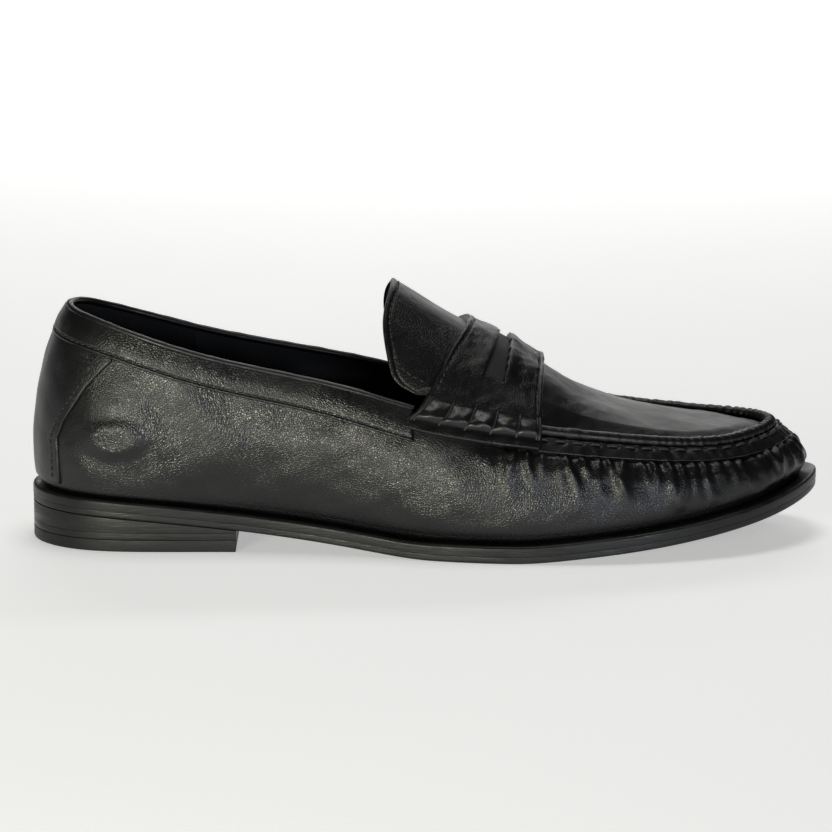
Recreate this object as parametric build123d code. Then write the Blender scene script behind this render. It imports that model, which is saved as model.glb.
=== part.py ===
from build123d import *

import os

import numpy as np

# Penny loafer, right foot, in millimetres. +X runs from the heel to the toe, +Y to the inner (big toe) side,
# +Z up. The origin is on the ground, in the middle of the shoe's length and width.

# ---- Driving dimensions -----------------------------------------------------------------------------------

LENGTH = 290.0  # outsole, heel to toe
MIDDLE_Y = -1.7  # middle of the outsole's width, measured from the middle of the heel
OUTSOLE_THICK = 2.6
MIDSOLE_THICK = 3.8
HEEL_BREAST = 76.0  # from the back of the heel to the front of the heel block
TOP_LIFT_THICK = 4.6
LIFT_THICK = 2.2
LEATHER = 1.2
STIFFENER = 1.0
LINING = 0.8
GLUE = 0.15  # gap between two layers that are glued or stitched together
MARGIN = 12.0  # how far the upper is turned in under the insole
TREAD_REAR, TREAD_FRONT = 148.0, 175.0  # flat part of the tread, from the back of the heel
BAND = 11.5  # height of the collar band
ROLL = 2.15  # radius of the raised seam round the apron
STRIP = 5.5  # height of the stitched strip below the raised seam

# Each row is a station round the shoe, from the back of the heel to the toe, in mm from the back of the heel:
# the outsole's edge (x, y), then the upper's top edge (x, y, z). The outer side has negative y.
OUTER = (
    ((0, 0), (14.2, 0, 86.3)),
    ((4, -16), (17.5, -12, 85.4)),
    ((18, -29), (26, -20.5, 83.2)),
    ((40, -33.5), (42, -27, 78.2)),
    ((68, -33.5), (66, -29.5, 71.2)),
    ((97, -35), (94, -31, 65.2)),
    ((128, -42), (122, -34.5, 59.2)),
    ((155, -50), (150, -38.5, 52)),
    ((182, -53.5), (180, -39.5, 47)),
    ((210, -53), (206, -37.5, 43.6)),
    ((237, -47.5), (230, -32.5, 40.6)),
    ((263, -35.5), (252, -23.5, 39)),
    ((281, -18), (266, -11, 39.8)),
    ((290, 5), (272.5, 5, 40.6)),
)
INNER = (
    ((4, 15.5), (17.5, 12, 85.4)),
    ((18, 27.5), (26, 20.5, 82.4)),
    ((42, 31.5), (42, 26.5, 77.2)),
    ((70, 29.5), (66, 28.5, 70.8)),
    ((100, 29), (94, 29.5, 65.2)),
    ((131, 34.5), (123, 32, 59.2)),
    ((158, 43), (151, 35, 52.4)),
    ((186, 49.5), (181, 36.5, 47.8)),
    ((213, 50), (207, 36, 43.8)),
    ((240, 47), (232, 34, 40.9)),
    ((265, 39), (254, 29, 39.7)),
    ((283, 25.5), (267, 19.5, 40.2)),
)
# Wall shape at each of those stations: the ledge of sole outside the upper, then how far out and up the lower
# bulge reaches, and how far out and down the shoulder under the top edge reaches.
WALL = (
    (2.4, 3, 18, 11.5, 18),
    (2.3, 3, 18, 10, 18),
    (2.2, 3, 18, 8, 18),
    (2.4, 3.5, 18, 6, 18),
    (2.8, 5, 17, 6, 17),
    (3.2, 6, 16, 6.5, 15),
    (3.3, 6, 15, 7.5, 13),
    (3.6, 5.5, 14, 9, 11),
    (3.8, 4.5, 14, 9, 9),
    (3.9, 4, 13, 8.5, 8),
    (4.2, 3.5, 11, 8, 6),
    (4.5, 3, 8, 7.5, 4),
    (4.8, 2.5, 6, 7, 2),
    (4.9, 2.5, 5, 7, 1.5),
)
SOLE_REAR = ((0, 13.8), (30, 12.4), (60, 9.7), (90, 6.2), (120, 2.5), (TREAD_REAR, 0))
SOLE_FRONT = ((TREAD_FRONT, 0), (200, 1.8), (230, 5.2), (260, 10.0), (282, 15.0), (LENGTH, 17.8))
# Crest of the apron and the tongue along the middle of the foot, under the strap, and how round its arch is.
CREST = ((120, 102.5), (134, 94.3), (156, 81), (170, 74), (187, 64), (205, 53.1), (218, 48.2), (235, 44.4),
         (255, 41.8), (275, 40.4))
ARCH = 2.6
# The strap, from the crest (0) over the rail (RAIL) down to the bottom edge of its foot (1): x of its edges.
RAIL = 0.76
STRAP_REAR = ((0, 160), (0.33, 157.5), (0.6, 150.5), (0.76, 144.5), (0.88, 139.5), (0.96, 137.6), (1, 138.2))
STRAP_FRONT = ((0, 187.5), (0.4, 187), (0.76, 186.6), (0.96, 186.2), (1, 185.6))
STRAP = 1.2
BACKING = 0.6
FOOT_DROP = 8.5  # how far the strap's feet reach down the wall
SLOT_REAR = ((171.3, 0), (170, 14), (165.8, 28.5))
SLOT_FRONT = ((175, 0), (174.6, 14), (172.2, 28.5))
ROLL_PLACE, ROLL_WIDE, ROLL_HIGH, ROLL_LUMPS = 0.83, 0.085, 3.0, 5
TONGUE_PLAN = ((132.9, 0), (131.6, 14), (129.8, 24.5), (131.4, 29.5), (136, 32.6), (142.5, 34.4))
TONGUE = 1.4


# ---- Curves -----------------------------------------------------------------------------------------------

def cubic(points, ends=(None, None)):
    """Cubic spline y(x) through the points. ends gives the slope at each end, or None for a free end."""
    x, y = np.array(points, float).T
    n, h = len(x), np.diff(x)
    a, b = np.zeros((n, n)), np.zeros(n)
    for i in range(1, n - 1):
        a[i, i - 1 : i + 2] = h[i - 1], 2 * (h[i - 1] + h[i]), h[i]
        b[i] = 6 * ((y[i + 1] - y[i]) / h[i] - (y[i] - y[i - 1]) / h[i - 1])
    a[0, 0] = a[-1, -1] = 1
    if ends[0] is not None:
        a[0, :2] = 2 * h[0], h[0]
        b[0] = 6 * ((y[1] - y[0]) / h[0] - ends[0])
    if ends[1] is not None:
        a[-1, -2:] = h[-1], 2 * h[-1]
        b[-1] = 6 * (ends[1] - (y[-1] - y[-2]) / h[-1])
    m = np.linalg.solve(a, b)

    def at(q):
        q = np.asarray(q, float)
        i = np.clip(np.searchsorted(x, q) - 1, 0, n - 2)
        left, right = x[i + 1] - q, q - x[i]
        curved = (m[i] * left**3 + m[i + 1] * right**3) / (6 * h[i])
        curved += (y[i] / h[i] - m[i] * h[i] / 6) * left
        return curved + (y[i + 1] / h[i] - m[i + 1] * h[i] / 6) * right

    return at


def around(knots, values):
    """Closed smooth curve through the values at the knots, which run from 0 to 1."""
    values = np.array(values, float)
    repeat = 4
    x = np.concatenate([knots[-repeat - 1 : -1] - 1, knots[:-1], 1 + knots[: repeat + 1]])
    y = np.concatenate([values[-repeat:], values, values[: repeat + 1]])
    parts = [cubic(np.column_stack([x, y[:, k]])) for k in range(y.shape[1])]
    return lambda s: np.stack([part(np.mod(s, 1.0)) for part in parts], -1)


rows = list(OUTER) + list(reversed(INNER))
edge = np.array([row[0] for row in rows], float)
steps = np.linalg.norm(np.roll(edge, -1, 0) - edge, axis=1)
knots = np.concatenate([[0], np.cumsum(steps) / steps.sum()])
outline_at = around(knots, edge)
top_at = around(knots, [row[1] for row in rows])
wall_at = around(knots, WALL + tuple(reversed(WALL[1:-1])))
TOE = float(knots[len(OUTER) - 1])  # the heel is at 0 and at 1, and the toe here
sole_rear, sole_front = cubic(SOLE_REAR, (-0.02, 0)), cubic(SOLE_FRONT, (0, 0.42))
crest_at = cubic(CREST)
sides = np.array([row[1] for row in OUTER[4:]], float), np.array([row[1] for row in INNER[4:]], float)
outer_y, outer_z = cubic(sides[0][:, :2]), cubic(sides[0][:, ::2])
inner_y, inner_z = cubic(sides[1][:, :2]), cubic(sides[1][:, ::2])


def sole_bottom(x):
    """Height of the outsole's underside over the ground."""
    x = np.clip(x, 0, LENGTH)
    return np.where(x < TREAD_REAR, sole_rear(x), np.where(x > TREAD_FRONT, sole_front(x), 0.0))


def outward(s):
    """Unit vector pointing straight out of the outsole's edge."""
    d = outline_at(s + 1e-4) - outline_at(s - 1e-4)
    n = np.stack([d[..., 1], -d[..., 0]], -1)
    return n / np.linalg.norm(n, axis=-1, keepdims=True)


# ---- Surfaces ---------------------------------------------------------------------------------------------

UPPER_BASE = OUTSOLE_THICK + MIDSOLE_THICK + GLUE


def wall_curve(s, t):
    """Outside of the upper: s runs round the shoe, and t from the turned-in margin (-1) over the feather
    edge (0) to the top edge (1)."""
    s, t = np.broadcast_arrays(np.asarray(s, float), np.asarray(t, float))
    ledge, low_out, low_up, high_out, high_down = np.moveaxis(wall_at(s), -1, 0)
    out = np.concatenate([outward(s), np.zeros(s.shape + (1,))], -1)
    up = np.array([0, 0, 1.0])
    foot = np.concatenate([outline_at(s), np.zeros(s.shape + (1,))], -1) - out * ledge[..., None]
    foot[..., 2] = sole_bottom(foot[..., 0]) + UPPER_BASE
    radius = 2.6
    start = foot + up * radius
    top = top_at(s)
    c1 = start + out * low_out[..., None] + up * (low_up[..., None] - radius)
    c2 = top + out * high_out[..., None] - up * high_down[..., None]
    k = np.clip(t, 0, 1)[..., None]
    wall = (1 - k) ** 3 * start + 3 * (1 - k) ** 2 * k * c1 + 3 * (1 - k) * k**2 * c2 + k**3 * top
    bend = np.clip(-t / 0.3, 0, 1)[..., None] * np.pi / 2
    turn = start - out * radius * (1 - np.cos(bend)) - up * radius * np.sin(bend)
    flat = np.clip((-t - 0.3) / 0.7, 0, 1)[..., None] * MARGIN
    turn -= out * flat
    turn[..., 2] += sole_bottom(turn[..., 0]) - sole_bottom(foot[..., 0])
    return np.where(t[..., None] >= 0, wall, turn)


def drop_to_t(s, drop):
    """The t that lies drop mm below the top edge, measured along the wall."""
    s, drop = np.broadcast_arrays(np.asarray(s, float), np.asarray(drop, float))
    t = np.linspace(1, 0, 60)
    line = wall_curve(s[..., None], t)
    run = np.linalg.norm(np.diff(line, axis=-2), axis=-1)
    run = np.concatenate([np.zeros(s.shape + (1,)), np.cumsum(run, -1)], -1)
    found = [np.interp(d, r, t) for d, r in zip(drop.ravel(), run.reshape(-1, 60))]
    return np.array(found).reshape(s.shape)


def offset(points, distance):
    """Grid of points moved along its own surface normal."""
    du, dv = np.gradient(points, axis=0), np.gradient(points, axis=1)
    n = np.cross(du, dv)
    n /= np.linalg.norm(n, axis=-1, keepdims=True)
    distance = np.asarray(distance, float)
    return points + n * (distance[..., None] if distance.ndim else distance)


def s_for_x(x, t, inner=False):
    """Station where the wall at height t lies x mm from the back of the heel, on either side."""
    x, t = np.broadcast_arrays(np.asarray(x, float), np.asarray(t, float))
    s = np.linspace(1, TOE, 300) if inner else np.linspace(0, TOE, 300)
    line = wall_curve(s, t[..., None])[..., 0]
    found = [np.interp(q, row, s) for q, row in zip(x.ravel(), line.reshape(-1, 300))]
    return np.array(found).reshape(x.shape)


def offset(points, distance):
    """Grid of points moved out along its own surface normal."""
    n = np.cross(np.gradient(points, axis=0), np.gradient(points, axis=1))
    n /= np.linalg.norm(n, axis=-1, keepdims=True)
    return points + n * np.broadcast_to(distance, points.shape[:-1])[..., None]


def crown(x, y):
    """Height of the apron and tongue leather."""
    low, high = outer_y(x), inner_y(x)
    half = np.maximum((high - low) / 2, 22)
    drop = np.maximum(crest_at(x) - (outer_z(x) + inner_z(x)) / 2, 0)
    return crest_at(x) - drop * (np.abs(y - (low + high) / 2) / half) ** ARCH


# ---- Solids -----------------------------------------------------------------------------------------------

def place(points):
    """Points measured from the back of the heel, as points of the finished part."""
    return np.asarray(points, float) - np.array([LENGTH / 2, MIDDLE_Y, 0])


def surface(points):
    rows = [[tuple(p) for p in row] for row in place(points)]
    return Face.make_surface_from_array_of_points(rows, tol=0.01)


def panel(outer, inner):
    """Solid between two grids of points of the same shape."""
    faces = [surface(outer), surface(inner)]
    rims = []
    for pick in (lambda g: g[0], lambda g: g[-1], lambda g: g[:, 0], lambda g: g[:, -1]):
        pair = []
        for face, grid in zip(faces, (outer, inner)):
            line = [Vertex(*p) for p in place(pick(grid))]
            marks = line[0], line[len(line) // 3], line[len(line) // 2], line[-1]
            pair.append(min(face.edges(), key=lambda e: sum(e.distance_to(mark) for mark in marks)))
        rims.append(Face.make_surface_from_curves(*pair))
    return Solid(Shell(faces + rims))


def ruled_panel(outer, inner, run=12):
    """Solid between two grids, whose faces are ruled from row to row and run along that many stations."""
    rows, faces = [], []
    for grid in (place(outer), place(inner)):
        slope = np.gradient(grid, axis=0)
        spans = [slice(k, k + run + 1) for k in range(0, len(grid) - 1, run)]
        lines = []
        for k in range(grid.shape[1]):
            line = []
            for span in spans:
                points, ends = grid[span, k], slope[span, k][[0, -1]]
                tangents = [Vector(*v) for v in ends]
                line.append(Edge.make_spline([Vector(*p) for p in points], tangents=tangents))
            lines.append(line)
        rows.append(lines)
        for low, high in zip(lines, lines[1:]):
            faces += [Face.make_surface_from_curves(a, b) for a, b in zip(low, high)]
    for k in (0, -1):
        faces += [Face.make_surface_from_curves(a, b) for a, b in zip(rows[0][k], rows[1][k])]
        ends = [[Vector(*p) for p in place(grid)[k]] for grid in (outer, inner)]
        for a, b, c, d in zip(ends[0], ends[0][1:], ends[1], ends[1][1:]):
            faces.append(Face.make_surface_from_curves(Edge.make_line(a, b), Edge.make_line(c, d)))
    return Solid(Shell(faces))


def wall_panel(s, t, low, high, build=panel):
    """Piece of the wall between two depths, which are positive outside the upper's own surface."""
    s, t = np.broadcast_arrays(s, t)
    step = 1e-4
    along = wall_curve(s + step, t) - wall_curve(s - step, t)
    rising = wall_curve(s, np.minimum(t + step, 1)) - wall_curve(s, np.maximum(t - step, -1))
    n = np.cross(along, rising)
    n /= np.linalg.norm(n, axis=-1, keepdims=True)
    grid = wall_curve(s, t)
    outer, inner = (grid + n * np.broadcast_to(depth, s.shape)[..., None] for depth in (high, low))
    return build(outer, inner)


def tube(points, radius):
    path = Edge.make_spline([tuple(p) for p in place(points)])
    return sweep(Plane(path @ 0, z_dir=path % 0) * Circle(radius), path=path)


def plan(points, height=130.0):
    """Upright prism over a closed outline."""
    points = np.column_stack([points, np.zeros(len(points))])
    line = Edge.make_spline([tuple(p) for p in place(points)], periodic=True)
    return extrude(Face(Wire([line])), height, dir=(0, 0, 1))


def sole_plan(inset):
    s = np.linspace(0, 1, 72, endpoint=False)
    return plan(outline_at(s) - outward(s) * inset)


def profile(x, low, high):
    """Slab between two heights along the shoe, wider than the shoe."""
    lines = []
    for z in (low, high):
        points = np.column_stack([x, 0 * x - 80, z + 0 * x])
        lines.append(Edge.make_spline([tuple(p) for p in place(points)]))
    ends = [Edge.make_line(lines[0] @ k, lines[1] @ k) for k in (0, 1)]
    return extrude(Face(Wire(lines + ends)), 160, dir=(0, 1, 0))


def layer(inset, low, high, start=-2.0, end=LENGTH + 2):
    """Layer of the sole that follows its underside, low to high mm above it."""
    x = np.linspace(start, end, 49)
    return only(sole_plan(inset) & profile(x, sole_bottom(x) + low, sole_bottom(x) + high))


def only(shape):
    """The one solid of a shape."""
    return shape.solids().sort_by(SortBy.VOLUME)[-1]


def save(name, *solids):
    shape = solids[0] if len(solids) == 1 else Compound(children=list(solids))
    shape.label = name
    export_step(shape, f"parts/{name}.step")


os.makedirs("parts", exist_ok=True)

# ---- Heel and sole ----------------------------------------------------------------------------------------

base = OUTSOLE_THICK + MIDSOLE_THICK + GLUE
outsole = layer(0, 0, OUTSOLE_THICK)
midsole = layer(0.2, OUTSOLE_THICK + 0.05, OUTSOLE_THICK + MIDSOLE_THICK)
shank_box = Pos(*place((88, 0, 0))) * Box(96, 13, 200)
shank_x = np.linspace(39, 137, 21)
shank = only(
    Pos(*place((88, 0, 0))) * Box(94, 12, 200) & profile(shank_x, sole_bottom(shank_x) + base + 0.1,
                                                        sole_bottom(shank_x) + base + 1.1)
)
bottom_filler = only(layer(MARGIN + 8.5, base, base + LEATHER) - shank_box)
insole_board = layer(9, base + LEATHER + GLUE, base + LEATHER + GLUE + 1.8)
floor = base + LEATHER + 1.8 + 2 * GLUE
heel_pad = layer(10.5, floor, floor + 3, end=68)
sock_x = np.linspace(-2, LENGTH + 2, 99)
sock_low = sole_bottom(sock_x) + floor + 3.15 * (1 - np.clip((sock_x - 69) / 14, 0, 1) ** 2 * (
    3 - 2 * np.clip((sock_x - 69) / 14, 0, 1)))
sock_lining = only(sole_plan(9.5) & profile(sock_x, sock_low, sock_low + 0.8))

heel_plan = sole_plan(0.7)
breast = Pos(*place((HEEL_BREAST - 100, 0, 0))) * Box(200, 200, 100)
heel_x = np.linspace(-2, HEEL_BREAST + 5, 21)
lift_bottom = TOP_LIFT_THICK + GLUE
wedge_bottom = lift_bottom + LIFT_THICK + GLUE
heel_blank = only(heel_plan & breast)
top_lift = only(heel_blank & profile(heel_x, 0 * heel_x, 0 * heel_x + TOP_LIFT_THICK))
lift = only(heel_blank & profile(heel_x, lift_bottom + 0 * heel_x, lift_bottom + LIFT_THICK + 0 * heel_x))
wedge = only(heel_blank & profile(heel_x, wedge_bottom + 0 * heel_x, sole_bottom(heel_x) - GLUE))
front_edges = top_lift.edges().filter_by(Axis.Y).sort_by(Axis.X)[-2:].sort_by(Axis.Z)
top_lift = only(chamfer(front_edges[:1], 1.2))
nails, holes = [], []
for angle in range(30, 360, 60):
    spot = 34 + 21 * np.cos(np.radians(angle)), 18 * np.sin(np.radians(angle))
    tip = float(sole_bottom(spot[0])) - 0.6
    upright = Align.CENTER, Align.CENTER, Align.MIN
    nails.append(Pos(*place((*spot, 1.2))) * Cylinder(0.8, tip - 1.2, align=upright))
    holes.append(Pos(*place((*spot, 0.9))) * Cylinder(1.0, tip - 0.7, align=upright))
for hole in holes:
    top_lift, lift, wedge = top_lift - hole, lift - hole, wedge - hole

save("outsole", outsole)
save("midsole", midsole)
save("shank", shank)
save("bottom_filler", bottom_filler)
save("insole_board", insole_board)
save("heel_pad", heel_pad)
save("sock_lining", sock_lining)
save("heel_top_lift", only(top_lift))
save("heel_lift", only(lift))
save("heel_wedge", only(wedge))
save("heel_nails", *nails)

# ---- Upper: wall, backstay, stiffeners, linings -----------------------------------------------------------

S_REAR, S_FRONT = 0.0004, 0.9996  # the vamp's two ends meet at the back of the heel
strap_front_out = float(s_for_x(186.6, 1.0))
strap_front_in = float(s_for_x(186.6, 1.0, True))


def ease(x, start, end):
    k = np.clip((np.asarray(x, float) - start) / (end - start), 0, 1)
    return k * k * (3 - 2 * k)


def top_drop(s):
    """How far below the top edge the upper's layers end: under the bead, or under the seam in front."""
    return 1.3 + 1.5 * ease(top_at(s)[..., 0], 176, 187)


def wall_t(s, low, rows):
    """Heights from low up to the upper's own top, one row of them for each station."""
    high = drop_to_t(s, top_drop(s))
    return low + (high - low) * np.linspace(0, 1, rows)[None, :]


def lining_depth(t):
    """Depth of the lining's outer face: clear of the stiffeners, but close to the leather near the top."""
    return -(LEATHER + GLUE) - (STIFFENER + GLUE) * (1 - ease(t, 0.62, 0.9))


def around_heel(front_out, front_in, t, count):
    """Stations from the inner front edge round the heel to the outer one, each edge given as x at each t."""
    first, last = s_for_x(front_in, t, True) - 1, s_for_x(front_out, t)
    return first + (last - first) * np.linspace(0, 1, count)[:, None]


s = np.linspace(S_REAR, S_FRONT, 97)[:, None]
margin = np.array([-1, -0.65, -0.3, -0.2, -0.1])
t = np.concatenate([np.broadcast_to(margin, (97, 5)), wall_t(s, 0, 12)], 1)
save("vamp", wall_panel(s, t, -LEATHER, 0, ruled_panel))

t = np.linspace(0.04, float(drop_to_t(0.0, BAND + 0.4)), 14)[None, :]
stay_x = np.interp(t, (0, 0.31, 0.41, 0.62, 0.8), (11.8, 11.2, 13.5, 22, 31.5))
s = around_heel(stay_x, stay_x, t, 31)
save("backstay", wall_panel(s, np.minimum(t, drop_to_t(s, BAND + 0.4)), 0.1, 1.1))

t = np.linspace(0.04, 0.6, 10)[None, :]
s = around_heel(62 + 0 * t, 62 + 0 * t, t, 41)
save("heel_counter", wall_panel(s, t + 0 * s, -LEATHER - GLUE - STIFFENER, -LEATHER - 2 * GLUE))
s = np.linspace(TOE - 0.11, TOE + 0.11, 37)[:, None]
save("toe_puff", wall_panel(s, wall_t(s, 0.04, 9) * 0.85, -LEATHER - 2 * GLUE - 0.7, -LEATHER - 2 * GLUE))


def lining(s):
    t = wall_t(s, 0.06, 10)
    depth = lining_depth(t) - 1.15 * ease(top_at(s)[..., 0], 150, 170) * ease(t, 0.62, 0.9)
    return wall_panel(s, t, depth - LINING, depth)


grip_out, grip_in = float(s_for_x(60, 0.7)), float(s_for_x(60, 0.7, True))
join_out, join_in = float(s_for_x(146, 0.9)), float(s_for_x(146, 0.9, True))
seam = 0.0006
save("heel_grip", lining(np.linspace(grip_in - 1 + seam, grip_out - seam, 31)[:, None]))
save("quarter_lining_outer", lining(np.linspace(grip_out, join_out - seam, 25)[:, None]))
save("quarter_lining_inner", lining(np.linspace(join_in + seam, grip_in, 25)[:, None]))
save("vamp_lining", lining(np.linspace(join_out, join_in, 51)[:, None]))

# ---- Collar -----------------------------------------------------------------------------------------------

BAND_FRONT = 137.0
band_out, band_in = float(s_for_x(BAND_FRONT, 0.95)), float(s_for_x(BAND_FRONT, 0.95, True))
s = np.linspace(band_in - 1, band_out, 41)[:, None]
tall = BAND + 1.2 * ease(top_at(s)[..., 0], 90, 137)
share = np.linspace(1, 0, 7)[None, :]
save("collar_band", wall_panel(s, drop_to_t(s, 1.3 + (tall - 1.3) * share), 0.15, 1.35))
s = np.linspace(band_in - 1, band_out, 29)
save("collar_bead", tube(offset(np.stack([wall_curve(s, 0.98), wall_curve(s, 1.0)], 1), -0.4)[:, 1], 1.1))


def wall_thread(s, drop, rise, radius=0.28):
    """Row of lock stitches along the wall, drop mm below the top edge."""
    grid = wall_curve(s[:, None], drop_to_t(s[:, None], np.reshape(drop, (-1, 1)) + np.array([0.5, 0, -0.5])))
    return tube(offset(grid, rise + radius)[:, 1], radius)


s = np.linspace(band_in - 1 + 0.002, band_out - 0.002, 27)
tall = BAND + 1.2 * ease(top_at(s)[..., 0], 90, 137)
save("collar_stitch", wall_thread(s, tall - 1.4, 1.4))
t = np.linspace(0.07, float(drop_to_t(0.0, BAND + 1)), 16)
rows = []
for inner in (False, True):
    stay_x = np.interp(t, (0, 0.31, 0.41, 0.62, 0.8), (11.8, 11.2, 13.5, 22, 31.5)) - 2.4
    s = s_for_x(stay_x, t, inner)
    nearby = s[:, None] + np.array([-0.001, 0, 0.001])
    line = offset(wall_curve(nearby, t[:, None]), -1.45)
    rows.append(tube(line[:, 1], 0.28))
save("backstay_stitch", *rows)

# ---- Apron ------------------------------------------------------------------------------------------------


def strap_x(u, v):
    """x on the strap: u is 0 at the crest and 1 at either foot, v 0 at the rear edge and 1 at the front."""
    rear, front = cubic(STRAP_REAR)(np.abs(u)), cubic(STRAP_FRONT)(np.abs(u))
    return rear + (front - rear) * v


def crown_slab(x_low, x_high, low, high):
    """Sheet that follows the crown between two depths."""
    x = np.linspace(x_low, x_high, 27)[:, None]
    middle = (outer_y(x) + inner_y(x)) / 2
    y = middle + np.linspace(-1, 1, 21)[None, :] * np.interp(x, (150, 200), (37.5, 46))
    grid = np.stack(np.broadcast_arrays(x, y, crown(x, y)), -1)
    return panel(offset(grid, high), offset(grid, low))


def apron_plan(inset, start):
    """Outline of the apron, inset from the upper's top edge. Its rear edge lies under the strap."""
    s_out, s_in = float(s_for_x(start[-1][0] + 2, 1.0)), float(s_for_x(start[-1][0] + 2, 1.0, True))
    s = np.linspace(s_out, s_in, 60)
    d = top_at(s + 1e-4) - top_at(s - 1e-4)
    n = np.stack([d[:, 1], -d[:, 0]], -1)
    n /= np.linalg.norm(n, axis=-1, keepdims=True)
    side = top_at(s)[:, :2] - n * inset
    rear = np.array([(x, -y) for x, y in start[::-1][1:]] + [(x, y) for x, y in start[1:]])
    line = [tuple(p) for p in place(np.column_stack([side, 0 * side[:, 0]]))]
    back = [tuple(p) for p in place(np.column_stack([rear[::-1], 0 * rear[:, 0]]))]
    closing = Polyline(line[-1], *back, line[0])
    return extrude(Face(Wire([Edge.make_spline(line)] + list(closing.edges()))), 130, dir=(0, 0, 1))


APRON_REAR = ((162, 0), (161, 14), (155, 26), (151, 31))
save("apron", only(crown_slab(149, 276, -LEATHER, 0) & apron_plan(ROLL + 0.5, APRON_REAR)))
save("apron_lining", only(crown_slab(149, 276, -LEATHER - GLUE - LINING, -LEATHER - GLUE)
                          & apron_plan(ROLL + 2.5, APRON_REAR)))
s = np.linspace(strap_front_out + 0.002, strap_front_in - 0.002, 37)
save("seam_roll", tube(top_at(s) + np.array([0, 0, 0.35]), ROLL))
t = drop_to_t(s[:, None], ROLL + 0.95 + STRIP * np.linspace(1, 0, 6)[None, :])
save("seam_band", wall_panel(s[:, None], t, 0.1, 0.9))
run = np.concatenate([[0], np.cumsum(np.linalg.norm(np.diff(top_at(s), axis=0), axis=1))])
stitches = []
for start in np.arange(4, run[-1] - 5, 6.5):
    at = np.interp(start + np.array([0, 1.2, 3.3, 4.5]), run, s)
    grid = wall_curve(at[:, None], drop_to_t(at[:, None], ROLL + 1.7 + np.array([0.5, 0, -0.5])))
    line = offset(grid, np.array([1.42, 1.6, 1.6, 1.42])[:, None])[:, 1]
    stitches.append(tube(line, 0.45))
save("running_stitch", *stitches)

# ---- Strap ------------------------------------------------------------------------------------------------


def strap_grid(u, v, rise):
    """Outside of the saddle over the crown and down both walls, lifted by rise."""
    half = [0.14, 0.28, 0.42, 0.56, 0.7, 0.86, 0.93, 1]
    keys = np.array([-k for k in reversed(half)] + [0] + half)
    v = np.asarray(v, float)
    lines = np.zeros((len(keys), len(v), 3))
    for i, key in enumerate(keys):
        x = strap_x(key, v)
        if abs(key) < RAIL:
            low, high = outer_y(x), inner_y(x)
            y = (low + high) / 2 + key / RAIL * 0.98 * (high - low) / 2
            lines[i] = np.stack([x, y, crown(x, y)], -1)
        else:
            s = s_for_x(x, 0.9, key > 0)
            lines[i] = wall_curve(s, drop_to_t(s, FOOT_DROP * (abs(key) - 0.79) / 0.21))
    parts = [[cubic(np.column_stack([keys, lines[:, j, k]]))(u) for k in range(3)] for j in range(len(v))]
    grid = np.array(parts).transpose(2, 0, 1)
    return offset(grid, -rise)


u, v = np.linspace(-1, 1, 41), np.linspace(0, 1, 7)
gap = 0.4
backing = panel(strap_grid(u, v, gap + BACKING), strap_grid(u, v, gap))
strap = panel(strap_grid(u, v, gap + BACKING + 0.1 + STRAP), strap_grid(u, v, gap + BACKING + 0.1))
slot = [(x, -y) for x, y in SLOT_REAR[::-1]] + list(SLOT_REAR[1:])
slot += [(x, y) for x, y in SLOT_FRONT[::-1]] + [(x, -y) for x, y in SLOT_FRONT[1:]]
slot = [tuple(p) for p in place([(x, y - 1.5, 0) for x, y in slot])]
strap = only(strap - extrude(Face(Wire(list(Polyline(*slot, close=True).edges()))), 130, dir=(0, 0, 1)))
save("strap_backing", backing)
save("saddle_strap", strap)
v = np.linspace(0.03, 0.97, 41)
lumps = 0.7 + 0.3 * np.abs(np.sin(ROLL_LUMPS * np.pi * v)) ** 0.6
across = np.linspace(-1, 1, 13)
over = gap + BACKING + 0.2 + STRAP
for name, side in (("outer", -1), ("inner", 1)):
    u = side * (ROLL_PLACE + ROLL_WIDE * across[::side])
    high = over + 0.3 + ROLL_HIGH * np.sqrt(1 - (0.97 * across[::side]) ** 2)[:, None] * lumps[None, :]
    save(f"strap_roll_{name}", panel(strap_grid(u, v, high), strap_grid(u, v, over)))
    group = []
    for k in range(1, ROLL_LUMPS):
        u = side * (ROLL_PLACE + ROLL_WIDE * 0.93 * np.linspace(-1, 1, 9)[::side])
        near = k / ROLL_LUMPS + np.array([-0.02, 0, 0.02])
        height = over + 1.05 + ROLL_HIGH * np.sqrt(1 - (0.9 * np.linspace(-1, 1, 9)) ** 2)[:, None] * 0.72
        group.append(tube(strap_grid(u, near, height)[:, 1], 0.4))
    save(f"roll_ties_{name}", *group)
rows = []
for v in (0.045, 0.955):
    u = np.linspace(-0.72, 0.72, 25)
    across = np.array([v - 0.02, v, v + 0.02])
    rows.append(tube(strap_grid(u, across, 0.4 + BACKING + 0.12 + STRAP + 0.28)[:, 1], 0.28))
save("strap_stitch", *rows)

# ---- Tongue -----------------------------------------------------------------------------------------------


def tongue_plan(inset, gap_to_strap):
    """Outline of the flap behind the strap."""
    half = [(x + inset, y - inset) for x, y in TONGUE_PLAN[1:]]
    rear = [(x, -y) for x, y in half[::-1]] + [(TONGUE_PLAN[0][0] + inset, 0)] + half
    u = np.linspace(0.66, -0.66, 15)
    front = strap_grid(u, np.array([0, 0.02]), 0)[:, 0, :2] - np.array([gap_to_strap, 0])
    front = front[np.abs(front[:, 1] + 1.5) < 33.5 - inset]
    rear = [(x, y - 1.5) for x, y in rear]
    line = [tuple(p) for p in place(np.column_stack([rear, np.zeros(len(rear))]))]
    back = [tuple(p) for p in place(np.column_stack([front, np.zeros(len(front))]))]
    closing = Polyline(line[-1], *back, line[0])
    return extrude(Face(Wire([Edge.make_spline(line)] + list(closing.edges()))), 130, dir=(0, 0, 1))


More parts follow.
